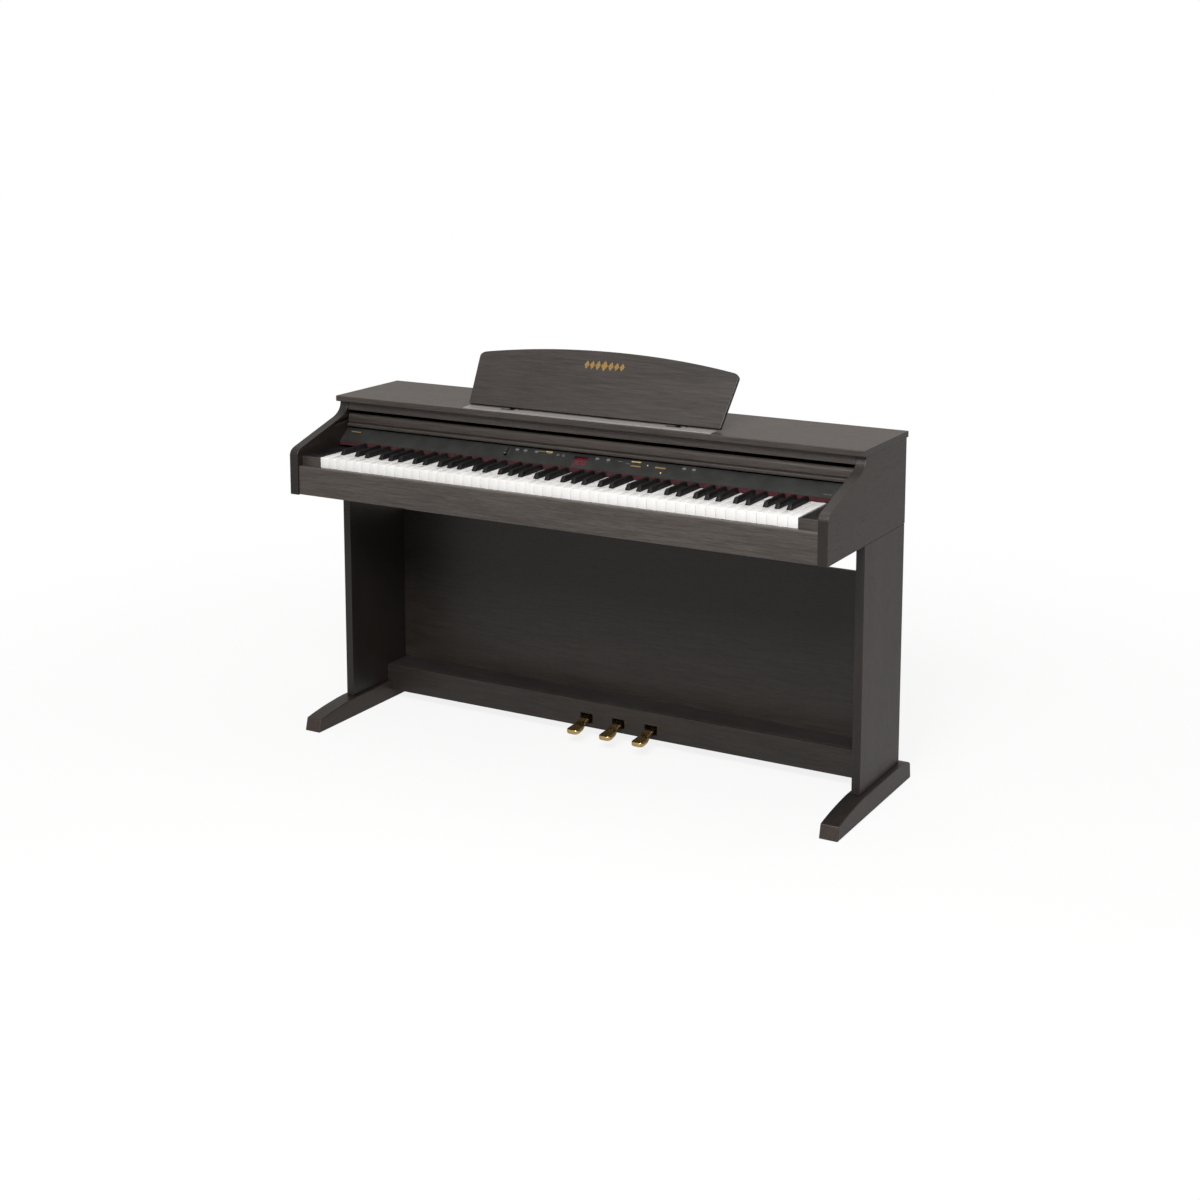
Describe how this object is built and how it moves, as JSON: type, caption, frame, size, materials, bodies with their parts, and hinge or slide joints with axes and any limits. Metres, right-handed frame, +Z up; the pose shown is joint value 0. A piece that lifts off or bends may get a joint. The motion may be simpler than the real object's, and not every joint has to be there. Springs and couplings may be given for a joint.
{
  "type": "digital piano on stand",
  "caption": "Cabinet digital piano with a full keyboard, sliding key cover, folding music desk, sprung pedals, control panel and a stand with long feet.",
  "frame": {"origin": "on the floor, under the middle of the footprint", "axes": "+X along the keyboard to the treble end, +Y to the back of the piano, +Z up"},
  "size_m": [1.4, 0.482, 0.9554],
  "materials": {
    "dark_wood": "dark rosewood grain foil on board, satin",
    "lit_wood": "dark rosewood grain foil on board, satin",
    "black_plastic": "black moulded plastic",
    "black_key_plastic": "black key plastic, half gloss",
    "white_key_plastic": "white key plastic, gloss",
    "speaker_paper": "black paper cone and steel basket",
    "panel_plastic": "dark grey textured plastic",
    "red_felt": "dark red felt",
    "red_display": "dark red transparent plastic window",
    "circuit_board": "green circuit board",
    "grey_plastic": "grey moulded buttons",
    "steel": "dark plated steel",
    "satin_strip": "light grey satin strip",
    "brass": "polished brass"
  },
  "bodies": {
    "cabinet": {"side_panel_left": "dark_wood", "side_panel_right": "dark_wood", "top_board": "lit_wood", "front_fascia": "dark_wood", "key_slip": "lit_wood", "rear_board": "dark_wood", "jack_panel": "black_plastic", "key_bed": "dark_wood", "speaker_left": "speaker_paper", "speaker_right": "speaker_paper", "key_block_left": "dark_wood", "key_block_right": "dark_wood", "key_pivot_rail": "black_plastic", "control_panel": "panel_plastic", "felt_strip": "red_felt", "display_window": "red_display", "control_board": "circuit_board", "desk_hinge_base_left": "steel", "desk_hinge_base_right": "steel", "music_ledge": "satin_strip", "leg_left": "dark_wood", "leg_right": "dark_wood", "foot_left": "dark_wood", "foot_right": "dark_wood", "stand_back_panel": "dark_wood", "pedal_board": "dark_wood", "pedal_box_top": "dark_wood", "pedal_bracket": "steel"},
    "key_cover": {"key_cover": "dark_wood", "key_cover_rail": "lit_wood"},
    "music_desk": {"music_desk": "dark_wood", "desk_hinge_leaf_left": "steel", "desk_hinge_leaf_right": "steel", "stay_bracket": "steel"},
    "desk_stay": {"desk_stay": "steel"},
    "pedal_left": {"pedal_left": "brass"},
    "pedal_middle": {"pedal_middle": "brass"},
    "pedal_right": {"pedal_right": "brass"},
    "volume_slider": {"volume_slider": "black_plastic"},
    "white_key_bank": {"white_key_bank": "white_key_plastic"},
    "black_key_bank": {"black_key_bank": "black_key_plastic"},
    "power_button": {"power_button": "grey_plastic"},
    "voice_button": {"voice_button": "grey_plastic"},
    "rhythm_button": {"rhythm_button": "grey_plastic"},
    "tempo_down_button": {"tempo_down_button": "grey_plastic"},
    "tempo_up_button": {"tempo_up_button": "grey_plastic"},
    "record_button": {"record_button": "grey_plastic"},
    "play_button": {"play_button": "grey_plastic"},
    "white_key_c4": {"white_key_c4": "white_key_plastic"},
    "white_key_d4": {"white_key_d4": "white_key_plastic"},
    "white_key_e4": {"white_key_e4": "white_key_plastic"},
    "white_key_f4": {"white_key_f4": "white_key_plastic"},
    "white_key_g4": {"white_key_g4": "white_key_plastic"},
    "white_key_a4": {"white_key_a4": "white_key_plastic"},
    "white_key_b4": {"white_key_b4": "white_key_plastic"},
    "black_key_c_sharp4": {"black_key_c_sharp4": "black_key_plastic"},
    "black_key_d_sharp4": {"black_key_d_sharp4": "black_key_plastic"},
    "black_key_f_sharp4": {"black_key_f_sharp4": "black_key_plastic"},
    "black_key_g_sharp4": {"black_key_g_sharp4": "black_key_plastic"},
    "black_key_a_sharp4": {"black_key_a_sharp4": "black_key_plastic"}
  },
  "joints": [
    {"name": "key_cover_swing", "type": "hinge", "parent": "cabinet", "child": "key_cover", "pos_m": [0, 0.0256, -0.0008], "axis": [1, 0, 0], "range_deg": [0, 14.4]},
    {"name": "music_desk_fold", "type": "hinge", "parent": "cabinet", "child": "music_desk", "pos_m": [0, -0.002, 0.8207], "axis": [-1, 0, 0], "range_deg": [0, 53]},
    {"name": "desk_stay_fold", "type": "hinge", "parent": "music_desk", "child": "desk_stay", "pos_m": [0, 0.04628, 0.89446], "axis": [-1, 0, 0], "range_deg": [-120.5, 0]},
    {"name": "pedal_left_press", "type": "hinge", "parent": "cabinet", "child": "pedal_left", "pos_m": [-0.079, 0.155, 0.046], "axis": [1, 0, 0], "range_deg": [0, 6], "stiffness_Nm_per_rad": 10, "springref_deg": -5.73},
    {"name": "pedal_middle_press", "type": "hinge", "parent": "cabinet", "child": "pedal_middle", "pos_m": [0.009, 0.155, 0.046], "axis": [1, 0, 0], "range_deg": [0, 6], "stiffness_Nm_per_rad": 10, "springref_deg": -5.73},
    {"name": "pedal_right_press", "type": "hinge", "parent": "cabinet", "child": "pedal_right", "pos_m": [0.097, 0.155, 0.046], "axis": [1, 0, 0], "range_deg": [0, 6], "stiffness_Nm_per_rad": 10, "springref_deg": -5.73},
    {"name": "volume_slide", "type": "slide", "parent": "cabinet", "child": "volume_slider", "axis": [0, 0.7809, 0.6247], "range_m": [0, 0.016]},
    {"name": "white_key_bank_dip", "type": "hinge", "parent": "cabinet", "child": "white_key_bank", "pos_m": [0, 0.084, 0.683], "axis": [1, 0, 0], "range_deg": [0, 1.85], "stiffness_Nm_per_rad": 90, "springref_deg": -5.73},
    {"name": "black_key_bank_dip", "type": "hinge", "parent": "cabinet", "child": "black_key_bank", "pos_m": [0, 0.084, 0.683], "axis": [1, 0, 0], "range_deg": [0, 1.85], "stiffness_Nm_per_rad": 35, "springref_deg": -5.73},
    {"name": "power_button_press", "type": "slide", "parent": "cabinet", "child": "power_button", "axis": [0, 0.6247, -0.7809], "range_m": [0, 0.0008], "stiffness_N_per_m": 800, "springref_m": -0.0004},
    {"name": "voice_button_press", "type": "slide", "parent": "cabinet", "child": "voice_button", "axis": [0, 0.6247, -0.7809], "range_m": [0, 0.0008], "stiffness_N_per_m": 800, "springref_m": -0.0004},
    {"name": "rhythm_button_press", "type": "slide", "parent": "cabinet", "child": "rhythm_button", "axis": [0, 0.6247, -0.7809], "range_m": [0, 0.0008], "stiffness_N_per_m": 800, "springref_m": -0.0004},
    {"name": "tempo_down_button_press", "type": "slide", "parent": "cabinet", "child": "tempo_down_button", "axis": [0, 0.6247, -0.7809], "range_m": [0, 0.0008], "stiffness_N_per_m": 800, "springref_m": -0.0004},
    {"name": "tempo_up_button_press", "type": "slide", "parent": "cabinet", "child": "tempo_up_button", "axis": [0, 0.6247, -0.7809], "range_m": [0, 0.0008], "stiffness_N_per_m": 800, "springref_m": -0.0004},
    {"name": "record_button_press", "type": "slide", "parent": "cabinet", "child": "record_button", "axis": [0, 0.6247, -0.7809], "range_m": [0, 0.0008], "stiffness_N_per_m": 800, "springref_m": -0.0004},
    {"name": "play_button_press", "type": "slide", "parent": "cabinet", "child": "play_button", "axis": [0, 0.6247, -0.7809], "range_m": [0, 0.0008], "stiffness_N_per_m": 800, "springref_m": -0.0004},
    {"name": "white_key_c4_dip", "type": "hinge", "parent": "cabinet", "child": "white_key_c4", "pos_m": [0, 0.084, 0.683], "axis": [1, 0, 0], "range_deg": [0, 1.85], "stiffness_Nm_per_rad": 2, "springref_deg": -5.73},
    {"name": "white_key_d4_dip", "type": "hinge", "parent": "cabinet", "child": "white_key_d4", "pos_m": [0, 0.084, 0.683], "axis": [1, 0, 0], "range_deg": [0, 1.85], "stiffness_Nm_per_rad": 2, "springref_deg": -5.73},
    {"name": "white_key_e4_dip", "type": "hinge", "parent": "cabinet", "child": "white_key_e4", "pos_m": [0, 0.084, 0.683], "axis": [1, 0, 0], "range_deg": [0, 1.85], "stiffness_Nm_per_rad": 2, "springref_deg": -5.73},
    {"name": "white_key_f4_dip", "type": "hinge", "parent": "cabinet", "child": "white_key_f4", "pos_m": [0, 0.084, 0.683], "axis": [1, 0, 0], "range_deg": [0, 1.85], "stiffness_Nm_per_rad": 2, "springref_deg": -5.73},
    {"name": "white_key_g4_dip", "type": "hinge", "parent": "cabinet", "child": "white_key_g4", "pos_m": [0, 0.084, 0.683], "axis": [1, 0, 0], "range_deg": [0, 1.85], "stiffness_Nm_per_rad": 2, "springref_deg": -5.73},
    {"name": "white_key_a4_dip", "type": "hinge", "parent": "cabinet", "child": "white_key_a4", "pos_m": [0, 0.084, 0.683], "axis": [1, 0, 0], "range_deg": [0, 1.85], "stiffness_Nm_per_rad": 2, "springref_deg": -5.73},
    {"name": "white_key_b4_dip", "type": "hinge", "parent": "cabinet", "child": "white_key_b4", "pos_m": [0, 0.084, 0.683], "axis": [1, 0, 0], "range_deg": [0, 1.85], "stiffness_Nm_per_rad": 2, "springref_deg": -5.73},
    {"name": "black_key_c_sharp4_dip", "type": "hinge", "parent": "cabinet", "child": "black_key_c_sharp4", "pos_m": [0, 0.084, 0.683], "axis": [1, 0, 0], "range_deg": [0, 1.85], "stiffness_Nm_per_rad": 1, "springref_deg": -5.73},
    {"name": "black_key_d_sharp4_dip", "type": "hinge", "parent": "cabinet", "child": "black_key_d_sharp4", "pos_m": [0, 0.084, 0.683], "axis": [1, 0, 0], "range_deg": [0, 1.85], "stiffness_Nm_per_rad": 1, "springref_deg": -5.73},
    {"name": "black_key_f_sharp4_dip", "type": "hinge", "parent": "cabinet", "child": "black_key_f_sharp4", "pos_m": [0, 0.084, 0.683], "axis": [1, 0, 0], "range_deg": [0, 1.85], "stiffness_Nm_per_rad": 1, "springref_deg": -5.73},
    {"name": "black_key_g_sharp4_dip", "type": "hinge", "parent": "cabinet", "child": "black_key_g_sharp4", "pos_m": [0, 0.084, 0.683], "axis": [1, 0, 0], "range_deg": [0, 1.85], "stiffness_Nm_per_rad": 1, "springref_deg": -5.73},
    {"name": "black_key_a_sharp4_dip", "type": "hinge", "parent": "cabinet", "child": "black_key_a_sharp4", "pos_m": [0, 0.084, 0.683], "axis": [1, 0, 0], "range_deg": [0, 1.85], "stiffness_Nm_per_rad": 1, "springref_deg": -5.73}
  ],
  "couplings": [
    {"joint": "desk_stay_fold", "follows": "music_desk_fold", "ratio": -2.264}
  ]
}
